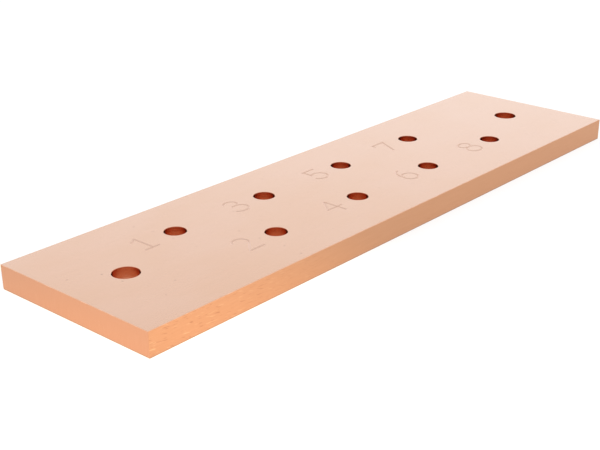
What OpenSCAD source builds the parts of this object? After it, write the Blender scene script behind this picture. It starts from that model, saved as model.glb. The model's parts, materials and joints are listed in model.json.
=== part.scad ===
// Earth terminal bar: a flat drawn copper bar that gathers protective earth
// conductors. Cable lugs bolt through two staggered rows of terminal holes,
// and one larger hole near each end bolts the bar to its insulators.
//
// Frame: the origin is at the middle of the underside, +X runs along the bar,
// +Y runs towards the row of odd-numbered terminals, and +Z is up.

/* [Bar] */
// Length of the bar from end to end
bar_l = 300; // [240:5:600]
// Width of the bar across its two rows of terminals
bar_w = 80; // [60:5:120]
// Thickness of the bar
bar_t = 10; // [5:1:16]
// Radius of the four long edges, left by the drawing die
edge_r = 0.3; // [0.1:0.05:1.5]
// Chamfer filed round each sawn end
end_chamfer = 0.2; // [0.1:0.05:1.5]

/* [Fixing holes] */
// Diameter of a fixing hole, clear for an M10 bolt
fixing_d = 10.5; // [8.5:0.5:14]
// Distance from each end of the bar to the middle of its fixing hole
fixing_inset = 25; // [15:1:35]

/* [Terminal holes] */
// Number of terminal holes, which alternate between the two rows
ways = 8; // [2:1:10]
// Diameter of a terminal hole, clear for an M8 bolt
terminal_d = 9; // [6.5:0.5:12]
// Distance between neighbouring holes of one row
terminal_pitch = 50; // [36:1:60]
// Distance between the two rows
row_gap = 30; // [24:1:44]

/* [Hole mouths] */
// Chamfer that takes the burr off both mouths of every hole
mouth_chamfer = 0.15; // [0.1:0.05:1]

/* [Hidden] */
copper = [0.88, 0.70, 0.57];
// How far a cutting tool runs past the faces that it cuts
overrun = 1;
// The rows are staggered, so each hole lies half a pitch past the one before
stagger = terminal_pitch / 2;
fixing_x = bar_l / 2 - fixing_inset;
$fn = 96;

// Place of terminal number n, counted from 1: odd ones at +Y, even ones at -Y
function terminal_x(n) = (n - (ways + 1) / 2) * stagger;
function terminal_y(n) = (n % 2 == 1 ? 1 : -1) * row_gap / 2;

// Drawn section of the bar, its width along X and its thickness along Y,
// standing on the X axis
module drawn_section() {
    translate([-bar_w / 2 + edge_r, 0])
        square([bar_w - 2 * edge_r, bar_t]);
    translate([-bar_w / 2, edge_r])
        square([bar_w, bar_t - 2 * edge_r]);
    for (side = [-1, 1], z = [edge_r, bar_t - edge_r])
        translate([side * (bar_w / 2 - edge_r), z])
            circle(r = edge_r);
}

// Flat outline of the bar, across wide and with chamfered corners. Swept
// through the bar, it files the two edges that it crosses at each end.
module end_trim(across) {
    long = bar_l / 2;
    short = long - end_chamfer - overrun;
    narrow = across / 2 - end_chamfer;
    wide = across / 2 + overrun;
    polygon([
        [-long, -narrow], [-short, -wide], [short, -wide], [long, -narrow],
        [long, narrow], [short, wide], [-short, wide], [-long, narrow]
    ]);
}

// Length of drawn bar, sawn to length and with both ends filed all round
module sawn_blank() {
    intersection() {
        rotate([90, 0, 90])
            translate([0, 0, -bar_l / 2])
                linear_extrude(bar_l)
                    drawn_section();
        translate([0, 0, -overrun])
            linear_extrude(bar_t + 2 * overrun)
                end_trim(bar_w);
        translate([0, 0, bar_t / 2])
            rotate([90, 0, 0])
                linear_extrude(bar_w + 2 * overrun, center = true)
                    end_trim(bar_t);
    }
}

// Tool for one drilled hole: a straight bore whose mouths open at 45 degrees
module drilled_hole(d) {
    bore_r = d / 2;
    tool_r = bore_r + mouth_chamfer + overrun;
    rotate_extrude()
        polygon([
            [0, -overrun], [tool_r, -overrun],
            [bore_r, mouth_chamfer], [bore_r, bar_t - mouth_chamfer],
            [tool_r, bar_t + overrun], [0, bar_t + overrun]
        ]);
}

module terminal_holes() {
    for (n = [1 : ways])
        translate([terminal_x(n), terminal_y(n), 0])
            drilled_hole(terminal_d);
}

module fixing_holes() {
    for (side = [-1, 1])
        translate([side * fixing_x, 0, 0])
            drilled_hole(fixing_d);
}

module bar() {
    color(copper)
        difference() {
            sawn_blank();
            terminal_holes();
            fixing_holes();
        }
}

bar();
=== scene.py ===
"""Looks of a drilled copper earth bar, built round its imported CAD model.

The bar is one mesh that takes its sizes and holes from the frame. It adds the engraved numbers beside
the terminal holes and one finish for each kind of surface, and rounds all the outer edges alike.
Everything is in metres, in the CAD frame: +X along the bar, +Y across it and +Z up.
"""

import json
import math

import bmesh
import bpy
import numpy as np
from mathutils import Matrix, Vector
from mathutils.geometry import delaunay_2d_cdt


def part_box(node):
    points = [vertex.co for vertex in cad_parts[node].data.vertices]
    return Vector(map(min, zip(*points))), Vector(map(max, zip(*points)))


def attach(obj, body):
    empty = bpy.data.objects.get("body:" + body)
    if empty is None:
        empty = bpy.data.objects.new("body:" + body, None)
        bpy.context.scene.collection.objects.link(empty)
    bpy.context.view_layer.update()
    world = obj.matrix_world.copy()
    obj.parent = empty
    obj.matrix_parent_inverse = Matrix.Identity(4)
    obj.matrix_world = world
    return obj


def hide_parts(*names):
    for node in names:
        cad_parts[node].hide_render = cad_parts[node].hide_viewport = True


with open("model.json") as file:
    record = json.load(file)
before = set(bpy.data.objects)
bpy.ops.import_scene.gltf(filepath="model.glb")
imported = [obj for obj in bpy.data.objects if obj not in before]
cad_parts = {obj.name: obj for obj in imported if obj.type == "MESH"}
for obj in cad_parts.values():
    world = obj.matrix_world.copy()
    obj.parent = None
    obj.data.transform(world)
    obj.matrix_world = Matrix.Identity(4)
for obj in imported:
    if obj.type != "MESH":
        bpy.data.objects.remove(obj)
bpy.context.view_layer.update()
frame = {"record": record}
MM = 0.001

# ---------------------------------------------------------------- sizes from the frame
LOW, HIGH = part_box("bar")
LENGTH, WIDTH, THICKNESS = HIGH - LOW
TOP = HIGH.z
MOUNTS = {m["name"]: m for m in frame["record"]["mounts"]}
TERMINALS = {int(name.split("_")[1]): m for name, m in MOUNTS.items() if name.startswith("terminal_")}
FIXING = MOUNTS["fixing_holes"]
TERMINAL_R = TERMINALS[1]["dims"]["r_mm"] * MM
FIXING_R = FIXING["dims"]["hole_r_mm"] * MM
# The straight wall of a bore stops short of both faces by the chamfer at its mouth
MOUTH = (THICKNESS - TERMINALS[1]["dims"]["length_mm"] * MM) / 2

# ---------------------------------------------------------------- sizes of the added detail
EDGE_R = 0.15 * MM          # rounding of the outer edges
EDGE_STEPS = 6              # facets across that rounding
SHARP = 20                  # angle in degrees from which an edge is shaded as a crease
HOLE_STEPS = 96             # facets round a hole
GRID = 5 * MM               # spacing of the points that even out the flat faces
GRID_MARGIN = GRID / 4      # how far those points stay clear of a hole
GROOVE_W = 1.0 * MM         # width of an engraved stroke at the surface
GROOVE_D = 0.25 * MM        # depth of its V section
GROOVE_RIM = 0.98           # share of the half width within which a groove has depth
ENGRAVED = GROOVE_D / 50    # a facet with a corner deeper than this belongs to a groove
STROKE_STEP = 0.45 * MM     # spacing of points along a stroke
CLOSED_GAP = 0.01 * MM      # a stroke whose ends are nearer than this is a closed one
CAP_STEPS = 8               # facets round the end of a stroke
DIGIT_OFFSET = Vector((-16.1, 0.45)) * MM   # middle of a number from the middle of its hole
DIGIT_TOP = 5.6             # how far most numbers reach above and below their middle, in millimetres
POINT_GAP = 1e-5            # points of a flat face nearer than this become one, in millimetres
WELD = 0.002 * MM           # corners of the mesh nearer than this become one
SLIVER = 0.0005 * MM        # edges shorter than this go

# ---------------------------------------------------------------- camera
CAMERA_AT = Vector((-356.45, -291.0, 179.46)) * MM
CAMERA_AZIMUTH = 49.403     # heading, clockwise from +Y
CAMERA_ELEVATION = 24.907   # how far the camera looks down
CAMERA_LENS = 67.80         # millimetres, on a sensor 36 mm wide
CAMERA_SHIFT = (-0.0391, 0.0796)            # in widths of the picture

# ---------------------------------------------------------------- finishes
FOOT_SHADE_HEIGHT = 0.8 * MM   # how far up the painted shade at the foot of the bar fades out
EDGE_FOOT_SHADE_HEIGHT = 1 * MM        # how far up the painted shade on the lower rounded edge fades out
MARKS_FULL = LOW.x + 15 * MM                # the marks of the long sides thin out from here
MARKS_GONE = LOW.x + 110 * MM               # to here

# ---------------------------------------------------------------- studio, in metres
FLOOR_SIZE = 6
FLOOR_WHITE = 0.30          # how much of the light on the floor comes back from it
FLOOR_ROUGHNESS = 0.9
# The floor is lit from below as well, like a light table. By the front corner a warmer and brighter
# pool of light is painted into that glow, for the side and the end to reflect. The pool fades out
# in an oval and doesn't reach under the bar.
FLOOR_GLOW = (0.77, 0.77, 0.77, 1)
POOL_GLOW = (1.38, 1.20, 1.01, 1)
POOL_AT = Vector((LOW.x + 23 * MM, LOW.y, 0))
POOL_REACH = (0.12, 0.185, 1)               # half axes of the oval along X and Y
POOL_MARGIN = 1 * MM        # how softly the pool ends at the foot of the bar
# Brightness of the surround at sines of the height above the horizon
SURROUND = ((0.0, 1.3), (0.5, 1.0), (0.8, 0.95), (1.0, 0.75))
SOFTBOX_HEIGHT = 2.0
SOFTBOX_WIDTH = 2.0
SOFTBOX_POWER = 1.2         # watts


# ================================================================ engraved numbers
def line(*points):
    """Straight stroke through points given in millimetres, subdivided to STROKE_STEP."""
    path = [Vector(points[0])]
    for a, b in zip(points, points[1:]):
        a, b = Vector(a), Vector(b)
        steps = max(1, round((b - a).length * MM / STROKE_STEP))
        path += [a.lerp(b, i / steps) for i in range(1, steps + 1)]
    return path


def arc(centre, radii, start, end):
    """Part of an ellipse in millimetres, from one angle to another in degrees."""
    sweep = math.radians(end - start)
    steps = max(3, round(abs(sweep) * sum(radii) / 2 * MM / STROKE_STEP))
    angles = [math.radians(start) + sweep * i / steps for i in range(steps + 1)]
    return [Vector((centre[0] + radii[0] * math.cos(a), centre[1] + radii[1] * math.sin(a)))
            for a in angles]


def digit_strokes():
    """Single-line numbers, each a list of strokes in millimetres about the number's middle."""
    t = DIGIT_TOP
    return {
        1: [line((0.3, t), (0.3, -t)), line((0.3, t), (-1.2, 4.4), (-3.0, 3.3)),
            line((-3.3, -t), (3.2, -t))],
        2: [arc((-0.5, 2.6), (3.4, 3.2), 160, -38), line((2.2, 0.65), (-3.6, -t)),
            line((-3.6, -t), (4.0, -t))],
        3: [arc((-0.3, 3.2), (3.2, 2.6), 150, -80), arc((-0.3, -2.5), (4.0, 3.2), 80, -150),
            line((-1.6, 0.65), (0.4, 0.65))],
        4: [line((1.8, t), (1.8, -6.0)), line((1.8, t), (-4.0, -1.3)), line((-4.0, -1.3), (4.4, -1.3))],
        5: [line((3.9, t), (-3.0, t)), line((-2.4, t), (-2.6, 0.9)),
            arc((-0.3, -2.1), (3.8, 3.5), 130, -160)],
        6: [arc((0.2, -2.2), (3.6, 3.6), 0, 360), arc((2.6, -2.2), (6.0, 8.0), 180, 100)],
        7: [line((-4.0, 5.2), (3.7, 5.2)), line((-4.0, 5.2), (-4.0, 3.4)), line((3.7, 5.2), (0.4, -1.6)),
            line((0.4, -1.6), (-1.5, -t))],
        8: [arc((0.0, 3.2), (3.3, 2.6), 0, 360), arc((0.0, -2.6), (4.0, 3.2), 0, 360)],
    }


def placed_strokes():
    """Every stroke on the bar, as arrays of XY points in metres."""
    strokes = []
    for number, mount in sorted(TERMINALS.items()):
        middle = Vector(mount["pos_m"][:2]) + DIGIT_OFFSET
        for stroke in digit_strokes()[number]:
            strokes.append(np.array([middle + p * MM for p in stroke]))
    return strokes


def is_closed(stroke):
    """True for a stroke that ends where it starts."""
    return np.linalg.norm(stroke[0] - stroke[-1]) < CLOSED_GAP


def stroke_normals(stroke):
    """Unit normals to the left of a smooth stroke, one at each point."""
    if is_closed(stroke):
        ring = stroke[:-1]
        tangent = np.roll(ring, -1, 0) - np.roll(ring, 1, 0)
        tangent = np.vstack([tangent, tangent[:1]])
    else:
        tangent = np.gradient(stroke, axis=0)
    tangent /= np.linalg.norm(tangent, axis=1)[:, None]
    return np.stack([-tangent[:, 1], tangent[:, 0]], 1)


def stroke_outlines(stroke):
    """Closed outlines of the groove that a round cutter leaves along a stroke."""
    offset = stroke_normals(stroke) * GROOVE_W / 2
    if is_closed(stroke):
        return [(stroke + offset)[:-1], (stroke - offset)[:-1]]
    right = stroke - offset
    left = (stroke + offset)[::-1]
    return [np.vstack([right, round_cap(stroke[-1], -offset[-1]), left, round_cap(stroke[0], offset[0])])]


def round_cap(end, spoke):
    """Points between the two corners of a stroke's end, turning anticlockwise from spoke."""
    angles = np.pi * np.arange(1, CAP_STEPS) / CAP_STEPS
    turned = [spoke[0] * np.cos(angles) - spoke[1] * np.sin(angles),
              spoke[0] * np.sin(angles) + spoke[1] * np.cos(angles)]
    return end + np.stack(turned, 1)


def groove_depths(points, strokes):
    """Depth of the V groove at each point: deepest on a stroke's middle line, nothing at its edge."""
    nearest = np.full(len(points), GROOVE_W)
    for stroke in strokes:
        a, b = stroke[:-1], stroke[1:]
        ab = b - a
        ap = points[:, None] - a
        share = np.clip((ap * ab).sum(2) / (ab * ab).sum(1), 0, 1)
        away = np.linalg.norm(ap - share[..., None] * ab, axis=2).min(1)
        nearest = np.minimum(nearest, away)
    # The outline's corners lie a hair inside the true edge, and stay at the surface too
    return GROOVE_D * np.clip(1 - nearest / (GROOVE_W / 2 * GROOVE_RIM), 0, 1)


# ================================================================ the bar's mesh
FACE, SIDE, END, EDGE, BORE, GROOVE = range(6)


def holes():
    """Middle and radius of every hole."""
    found = [(Vector(m["pos_m"][:2]), TERMINAL_R) for m in TERMINALS.values()]
    middle = Vector(FIXING["pos_m"][:2])
    half = Vector((FIXING["dims"]["spacing_x_mm"] * MM / 2, 0))
    return found + [(middle - half, FIXING_R), (middle + half, FIXING_R)]


def circle(middle, radius):
    """Points round a hole, anticlockwise."""
    angles = np.linspace(0, 2 * np.pi, HOLE_STEPS, endpoint=False)
    return np.array(middle) + radius * np.stack([np.cos(angles), np.sin(angles)], 1)


def spread(low, high):
    """Evenly spaced values about GRID apart, both ends included."""
    return np.linspace(low, high, max(2, round((high - low) / GRID) + 1))


def inner_rectangle():
    """Half the length and half the width of the flat part of the top."""
    return LENGTH / 2 - EDGE_R, WIDTH / 2 - EDGE_R


def perimeter():
    """Points round the flat part of the top, anticlockwise, with the outward direction of each.
    A corner is given once for each step of its rounding."""
    half_x, half_y = inner_rectangle()
    xs, ys = spread(-half_x, half_x), spread(-half_y, half_y)
    sides = [([(x, -half_y) for x in xs], -90), ([(half_x, y) for y in ys], 0),
             ([(x, half_y) for x in xs[::-1]], 90), ([(-half_x, y) for y in ys[::-1]], 180)]
    points, directions = [], []
    for side, heading in sides:
        points += side
        directions += [heading] * len(side)
        for step in range(1, EDGE_STEPS):
            points.append(side[-1])
            directions.append(heading + 90 * step / EDGE_STEPS)
    angle = np.radians(directions)
    return np.array(points), np.stack([np.cos(angle), np.sin(angle)], 1)


def add_rings(bm, rings, material):
    """Bands of quads between successive rings of points, each ring a closed loop."""
    rows = [[bm.verts.new(p) for p in ring] for ring in rings]
    for upper, lower in zip(rows, rows[1:]):
        count = len(upper)
        for i in range(count):
            j = (i + 1) % count
            face = bm.faces.new((upper[i], lower[i], lower[j], upper[j]))
            face.material_index = material


def add_outer_walls(bm):
    """The four sides with their rounded edges, from the rim of the top to the rim of the underside."""
    points, outward = perimeter()
    turn = np.radians(np.linspace(0, 90, EDGE_STEPS + 1))
    upper = [(EDGE_R * np.sin(a), TOP - EDGE_R * (1 - np.cos(a))) for a in turn]
    lower = [(out, TOP + LOW.z - z) for out, z in reversed(upper)]
    rings = [[(*p, z) for p in points + out * outward] for out, z in upper + lower]
    add_rings(bm, rings, EDGE)


def add_hole_walls(bm):
    """The straight bores with a chamfer at both mouths."""
    for middle, radius in holes():
        mouth = radius + MOUTH
        profile = [(mouth, TOP), (radius, TOP - MOUTH), (radius, LOW.z + MOUTH), (mouth, LOW.z)]
        rings = [[(*p, z) for p in circle(middle, r)[::-1]] for r, z in profile]
        add_rings(bm, rings, BORE)


def grid_points(strokes):
    """Points that even out a flat face, clear of its rim, its holes and its engraved strokes."""
    half_x, half_y = inner_rectangle()
    xs, ys = spread(-half_x, half_x)[1:-1], spread(-half_y, half_y)[1:-1]
    points = np.array([(x, y) for x in xs for y in ys])
    clear = np.full(len(points), True)
    for middle, radius in holes():
        clear &= np.linalg.norm(points - np.array(middle), axis=1) > radius + MOUTH + GRID_MARGIN
    for stroke in strokes:
        gaps = np.linalg.norm(points[:, None] - stroke, axis=2).min(1)
        clear &= gaps > GROOVE_W
    return points[clear]


def add_flat_face(bm, z, strokes):
    """A flat face with its holes left open and the strokes cut into it. It faces up at the top."""
    rim = perimeter()[0]
    # A corner of the rim that was given several times counts once here
    rim = rim[np.linalg.norm(rim - np.roll(rim, 1, 0), axis=1) > EDGE_R / 10]
    loops = [rim] + [circle(middle, radius + MOUTH) for middle, radius in holes()]
    for stroke in strokes:
        loops += stroke_outlines(stroke)
    points, edges = [], []
    for loop in loops:
        first = len(points)
        points += list(loop)
        edges += [(first + i, first + (i + 1) % len(loop)) for i in range(len(loop))]
    for stroke in strokes:
        first = len(points)
        points += list(stroke)
        edges += [(first + i, first + i + 1) for i in range(len(stroke) - 1)]
    points += list(grid_points(strokes))
    # The triangulation works in millimetres, and so does POINT_GAP
    flat = [Vector(np.asarray(p) / MM) for p in points]
    found, _, triangles, *_ = delaunay_2d_cdt(flat, edges, [], 0, POINT_GAP)
    xy = np.array([(v.x, v.y) for v in found]) * MM
    depth = groove_depths(xy, strokes) if strokes else np.zeros(len(xy))
    verts = [bm.verts.new((x, y, z - d)) for (x, y), d in zip(xy, depth)]
    corners = np.array(triangles)
    middles = xy[corners].mean(1)
    keep = np.full(len(triangles), True)
    for middle, radius in holes():
        # A chord of the mouth's circle comes this near to the middle
        chord = (radius + MOUTH) * math.cos(math.pi / HOLE_STEPS)
        keep &= np.linalg.norm(middles - np.array(middle), axis=1) > chord
    engraved = depth[corners].max(1) > ENGRAVED
    for triangle, cut in zip(corners[keep], engraved[keep]):
        order = triangle if z > LOW.z else triangle[::-1]
        face = bm.faces.new([verts[i] for i in order])
        face.material_index = GROOVE if cut else FACE


def make_bar():
    """The whole bar as one closed mesh."""
    bm = bmesh.new()
    strokes = placed_strokes()
    add_flat_face(bm, TOP, strokes)
    add_flat_face(bm, LOW.z, [])
    add_outer_walls(bm)
    add_hole_walls(bm)
    bmesh.ops.remove_doubles(bm, verts=bm.verts, dist=WELD)
    bmesh.ops.dissolve_degenerate(bm, edges=bm.edges, dist=SLIVER)
    bmesh.ops.delete(bm, geom=[v for v in bm.verts if not v.link_faces], context="VERTS")
    # Upright walls are sides or ends, and the rounding between them stays an edge
    for face in bm.faces:
        if face.material_index == EDGE and abs(face.normal.z) < 0.001:
            face.material_index = SIDE if abs(face.normal.y) > 0.999 else END
    mesh = bpy.data.meshes.new("engraved_bar")
    bm.to_mesh(mesh)
    bm.free()
    mesh.set_sharp_from_angle(angle=math.radians(SHARP))
    piece = bpy.data.objects.new("engraved_bar", mesh)
    bpy.context.scene.collection.objects.link(piece)
    # The wide faces keep their own normals, so only the rounding turns the shading
    piece.modifiers.new("flat_faces", "WEIGHTED_NORMAL").keep_sharp = True
    return piece


# ================================================================ materials
def new_material(name):
    """An empty node material with its output and its metal shader."""
    material = bpy.data.materials.new(name)
    material.use_nodes = True
    tree = material.node_tree
    tree.nodes.clear()
    output = tree.nodes.new("ShaderNodeOutputMaterial")
    metal = tree.nodes.new("ShaderNodeBsdfPrincipled")
    metal.inputs["Metallic"].default_value = 1.0
    tree.links.new(metal.outputs["BSDF"], output.inputs["Surface"])
    return material, tree, metal


def plug(tree, value, socket):
    """Links an output to a socket, or sets the socket to a plain value."""
    if isinstance(value, bpy.types.NodeSocket):
        tree.links.new(value, socket)
    else:
        socket.default_value = value


def cells(tree, cell, dip=0.0):
    """Object coordinates counted in cells, each cell millimetres along the axes. A dip in degrees
    turns them about Y, so that what lies along the bar runs down towards +X."""
    where = tree.nodes.new("ShaderNodeTexCoord")
    mapping = tree.nodes.new("ShaderNodeMapping")
    mapping.vector_type = "TEXTURE"
    mapping.inputs["Rotation"].default_value = (0, math.radians(dip), 0)
    mapping.inputs["Scale"].default_value = [c * MM for c in cell]
    tree.links.new(where.outputs["Object"], mapping.inputs["Vector"])
    return mapping.outputs["Vector"]


def noise(tree, cell, detail=2.0, rough=0.5, dip=0.0):
    """Noise whose cells measure cell millimetres along each axis."""
    node = tree.nodes.new("ShaderNodeTexNoise")
    node.inputs["Scale"].default_value = 1.0
    node.inputs["Detail"].default_value = detail
    node.inputs["Roughness"].default_value = rough
    plug(tree, cells(tree, cell, dip), node.inputs["Vector"])
    return node.outputs["Fac"]


def specks(tree, spacing, size, share):
    """Round specks on a wide face, from faint ones to ones that reach 1 in the middle. Spacing and
    size are in millimetres, and share is how many of the places have one."""
    node = tree.nodes.new("ShaderNodeTexVoronoi")
    node.inputs["Scale"].default_value = 1.0
    node.voronoi_dimensions = "2D"
    plug(tree, cells(tree, (spacing,) * 3), node.inputs["Vector"])
    spot = remap(tree, node.outputs["Distance"], size / spacing / 4, size / spacing / 2, 1, 0)
    split = tree.nodes.new("ShaderNodeSeparateColor")
    tree.links.new(node.outputs["Color"], split.inputs["Color"])
    return math_node(tree, "MULTIPLY", spot, remap(tree, split.outputs["Red"], 0, share, 1, 0))


def remap(tree, value, low, high, to_low=0.0, to_high=1.0):
    """Takes value from low..high to to_low..to_high, held inside those limits."""
    node = tree.nodes.new("ShaderNodeMapRange")
    plug(tree, value, node.inputs["Value"])
    for name, number in (("From Min", low), ("From Max", high), ("To Min", to_low), ("To Max", to_high)):
        node.inputs[name].default_value = number
    return node.outputs["Result"]


def math_node(tree, operation, a, b):
    """Output of a Math node on two outputs or plain numbers."""
    node = tree.nodes.new("ShaderNodeMath")
    node.operation = operation
    plug(tree, a, node.inputs[0])
    plug(tree, b, node.inputs[1])
    return node.outputs[0]


def blend(tree, share, a, b):
    """Colour a where share is 0, and colour b where it is 1."""
    node = tree.nodes.new("ShaderNodeMix")
    node.data_type = "RGBA"
    plug(tree, share, node.inputs["Factor"])
    plug(tree, a, node.inputs["A"])
    plug(tree, b, node.inputs["B"])
    return node.outputs["Result"]


def relief(tree, metal, height, depth):
    """Bump from a height between 0 and 1, with depth as the height of its full range."""
    bump = tree.nodes.new("ShaderNodeBump")
    bump.inputs["Strength"].default_value = 1.0
    bump.inputs["Distance"].default_value = depth
    plug(tree, height, bump.inputs["Height"])
    tree.links.new(bump.outputs["Normal"], metal.inputs["Normal"])


def fall(tree, axis, start, end):
    """Share that falls from 1 to 0 between two places along an axis, given in metres."""
    where = tree.nodes.new("ShaderNodeTexCoord")
    split = tree.nodes.new("ShaderNodeSeparateXYZ")
    tree.links.new(where.outputs["Object"], split.inputs["Vector"])
    return remap(tree, split.outputs[axis], start, end, 1, 0)


def painted_foot_shade(tree, base):
    """Base darkened to a narrow brown line of painted shade along the lower edge, where the bar meets the
    floor.
    """
    return blend(tree, fall(tree, "Z", LOW.z, LOW.z + FOOT_SHADE_HEIGHT), base, (0.48, 0.29, 0.20, 1))


def rolled_face():
    """Pale mill finish of the two wide faces: faint rolling grain, patches and a few tiny nicks."""
    material, tree, metal = new_material("rolled_copper_face")
    patches = remap(tree, noise(tree, (34, 22, 22), 3), 0.35, 0.65)
    base = blend(tree, patches, (0.73, 0.43, 0.28, 1), (0.74, 0.448, 0.31, 1))
    grain = noise(tree, (14, 0.3, 0.3), 3, 0.6)
    base = blend(tree, remap(tree, grain, 0.3, 0.7, 0, 0.02), base, (0.66, 0.40, 0.28, 1))
    nicks = specks(tree, 12, 1.0, 0.5)
    base = blend(tree, math_node(tree, "MULTIPLY", nicks, 0.8), base, (0.45, 0.22, 0.13, 1))
    plug(tree, base, metal.inputs["Base Color"])
    plug(tree, remap(tree, grain, 0.3, 0.7, 0.22, 0.28), metal.inputs["Roughness"])
    # A thin film of oxide and oil pales the metal where it is seen at a low angle
    metal.inputs["Coat Weight"].default_value = 1.0
    metal.inputs["Coat Roughness"].default_value = 0.2
    relief(tree, metal, math_node(tree, "SUBTRACT", grain, nicks), 0.0003 * MM)
    return material


def drawn_side():
    """Long drawn sides: a deeper orange, with short light and dark marks that thin out along the bar."""
    material, tree, metal = new_material("drawn_copper_side")
    streaks = noise(tree, (9, 0.3, 0.3), 3, 0.6)
    base = blend(tree, remap(tree, streaks, 0.3, 0.7), (0.63, 0.327, 0.182, 1), (0.60, 0.304, 0.163, 1))
    marked = fall(tree, "X", MARKS_FULL, MARKS_GONE)
    dark = remap(tree, noise(tree, (4.0, 0.5, 0.45), 1, dip=9), 0.62, 0.72)
    light = remap(tree, noise(tree, (5.0, 0.5, 0.5), 1, dip=7), 0.62, 0.74)
    base = blend(tree, math_node(tree, "MULTIPLY", dark, marked), base, (0.46, 0.20, 0.10, 1))
    base = blend(tree, math_node(tree, "MULTIPLY", light, marked), base, (0.72, 0.44, 0.25, 1))
    # The brown line at the foot is painted shade where the bar meets the floor
    plug(tree, painted_foot_shade(tree, base), metal.inputs["Base Color"])
    metal.inputs["Roughness"].default_value = 0.42
    relief(tree, metal, math_node(tree, "SUBTRACT", streaks, dark), 0.01 * MM)
    return material


def sawn_end():
    """Sawn ends, filed smooth, with faint saw lines across the thickness."""
    material, tree, metal = new_material("sawn_copper_end")
    lines = noise(tree, (0.3, 0.3, 7), 2, 0.6)
    base = blend(tree, remap(tree, lines, 0.3, 0.7), (0.62, 0.32, 0.194, 1), (0.60, 0.30, 0.174, 1))
    # The brown line at the foot is painted shade where the bar meets the floor
    plug(tree, painted_foot_shade(tree, base), metal.inputs["Base Color"])
    metal.inputs["Roughness"].default_value = 0.42
    relief(tree, metal, lines, 0.006 * MM)
    return material


def broken_edge():
    """Rounded outer edges: a bright base with brighter patches that are partly real polish from handling
    and partly painted glint, and painted shade along the underside.
    """
    material, tree, metal = new_material("broken_copper_edge")
    # The bright base and its brighter patches are painted highlight along the rounding, partly the real
    # polish of handling
    wear_and_glint = remap(tree, noise(tree, (5, 5, 5), 3), 0.50, 0.62)
    base = blend(tree, wear_and_glint, (0.82, 0.46, 0.30, 1), (0.90, 0.54, 0.38, 1))
    # Painted shade: the lower rounded edge darkens where the bar meets the floor
    base = blend(tree, fall(tree, "Z", LOW.z, LOW.z + EDGE_FOOT_SHADE_HEIGHT), base, (0.40, 0.21, 0.14, 1))
    plug(tree, base, metal.inputs["Base Color"])
    plug(tree, remap(tree, wear_and_glint, 0, 1, 0.40, 0.28), metal.inputs["Roughness"])
    # Tarnish in the rubbed edge keeps it from shining white where it is seen along its surface
    metal.inputs["Specular Tint"].default_value = (0.25, 0.18, 0.14, 1)
    return material


def drilled_bore():
    """Walls and mouths of the drilled holes, with the rings that a drill leaves."""
    material, tree, metal = new_material("drilled_copper_bore")
    rings = noise(tree, (12, 12, 0.18), 2, 0.6)
    base = blend(tree, remap(tree, rings, 0.35, 0.7), (0.75, 0.36, 0.22, 1), (0.66, 0.30, 0.18, 1))
    plug(tree, base, metal.inputs["Base Color"])
    metal.inputs["Roughness"].default_value = 0.15
    metal.inputs["Coat Weight"].default_value = 0.1
    metal.inputs["Coat Roughness"].default_value = 0.3
    relief(tree, metal, rings, 0.02 * MM)
    return material


def cut_groove():
    """Cut metal in the engraved numbers."""
    material, tree, metal = new_material("engraved_copper_groove")
    chatter = noise(tree, (0.4, 0.4, 0.4), 2, 0.6)
    base = blend(tree, remap(tree, chatter, 0.3, 0.7), (0.77, 0.525, 0.41, 1), (0.69, 0.465, 0.365, 1))
    plug(tree, base, metal.inputs["Base Color"])
    metal.inputs["Roughness"].default_value = 0.3
    relief(tree, metal, chatter, 0.005 * MM)
    return material


# ================================================================ studio
def make_floor():
    """Wide matt floor that glows like a light table, with a painted warm pool of light by the front
    corner.
    """
    bpy.ops.mesh.primitive_plane_add(size=FLOOR_SIZE, location=(0, 0, LOW.z))
    floor = bpy.context.object
    floor.name = "floor"
    material = bpy.data.materials.new("pale_floor")
    material.use_nodes = True
    shader = material.node_tree.nodes["Principled BSDF"]
    shader.inputs["Base Color"].default_value = (FLOOR_WHITE, FLOOR_WHITE, FLOOR_WHITE, 1)
    shader.inputs["Roughness"].default_value = FLOOR_ROUGHNESS
    shader.inputs["Specular IOR Level"].default_value = 0.0
    shader.inputs["Emission Strength"].default_value = 1
    plug(material.node_tree, glow_with_painted_pool(material.node_tree), shader.inputs["Emission Color"])
    floor.data.materials.append(material)


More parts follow.
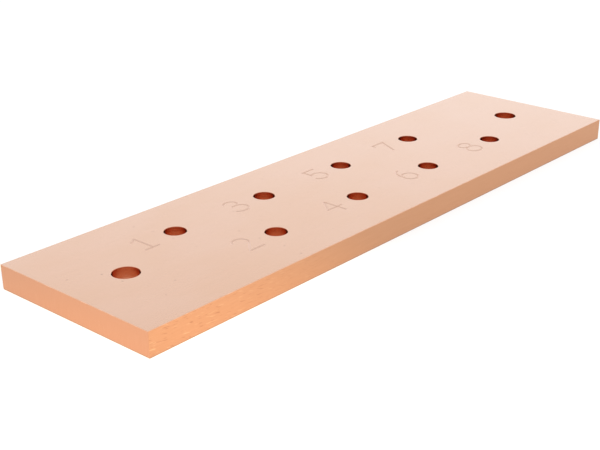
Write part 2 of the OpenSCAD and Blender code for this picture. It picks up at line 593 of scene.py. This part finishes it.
def glow_with_painted_pool(tree):
    """Even white glow of the light table, with a painted warm pool of light round POOL_AT."""
    where = tree.nodes.new("ShaderNodeTexCoord")
    pool = tree.nodes.new("ShaderNodeMapping")
    pool.vector_type = "TEXTURE"
    pool.inputs["Location"].default_value = POOL_AT
    pool.inputs["Scale"].default_value = POOL_REACH
    tree.links.new(where.outputs["Object"], pool.inputs["Vector"])
    away = tree.nodes.new("ShaderNodeVectorMath")
    away.operation = "LENGTH"
    tree.links.new(pool.outputs["Vector"], away.inputs[0])
    share = remap(tree, away.outputs["Value"], 0, 1, 1, 0)
    share.node.interpolation_type = "SMOOTHSTEP"
    before_end = fall(tree, "X", LOW.x, LOW.x + POOL_MARGIN)
    before_side = fall(tree, "Y", LOW.y, LOW.y + POOL_MARGIN)
    in_front = math_node(tree, "MAXIMUM", before_end, before_side)
    return blend(tree, math_node(tree, "MULTIPLY", share, in_front), FLOOR_GLOW, POOL_GLOW)


def make_world():
    """Soft white surround, brightest at the horizon and dimmer overhead."""
    world = bpy.data.worlds.new("soft_studio")
    world.use_nodes = True
    bpy.context.scene.world = world
    tree = world.node_tree
    tree.nodes.clear()
    output = tree.nodes.new("ShaderNodeOutputWorld")
    light = tree.nodes.new("ShaderNodeBackground")
    where = tree.nodes.new("ShaderNodeTexCoord")
    split = tree.nodes.new("ShaderNodeSeparateXYZ")
    tree.links.new(where.outputs["Generated"], split.inputs["Vector"])
    level = SURROUND[0][1]
    for (low, here), (high, there) in zip(SURROUND, SURROUND[1:]):
        step = remap(tree, split.outputs["Z"], low, high, 0, there - here)
        level = math_node(tree, "ADD", step, level)
    light.inputs["Color"].default_value = (1, 1, 1, 1)
    plug(tree, level, light.inputs["Strength"])
    tree.links.new(light.outputs["Background"], output.inputs["Surface"])


def make_softbox():
    """Wide round lamp straight overhead."""
    data = bpy.data.lights.new("softbox", "AREA")
    data.shape = "DISK"
    data.size = SOFTBOX_WIDTH
    data.energy = SOFTBOX_POWER
    softbox = bpy.data.objects.new("softbox", data)
    softbox.location = (0, 0, SOFTBOX_HEIGHT)
    bpy.context.scene.collection.objects.link(softbox)


def make_camera():
    """The photograph's camera."""
    data = bpy.data.cameras.new("camera")
    data.lens = CAMERA_LENS
    data.shift_x, data.shift_y = CAMERA_SHIFT
    camera = bpy.data.objects.new("camera", data)
    camera.location = CAMERA_AT
    camera.rotation_euler = (math.radians(90 - CAMERA_ELEVATION), 0, math.radians(-CAMERA_AZIMUTH))
    bpy.context.scene.collection.objects.link(camera)
    bpy.context.scene.camera = camera


make_camera()
make_floor()
make_world()
make_softbox()
bpy.context.scene.view_settings.view_transform = "Standard"

bar = make_bar()
for finish in (rolled_face, drawn_side, sawn_end, broken_edge, drilled_bore, cut_groove):
    bar.data.materials.append(finish())
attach(bar, "root")
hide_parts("bar")
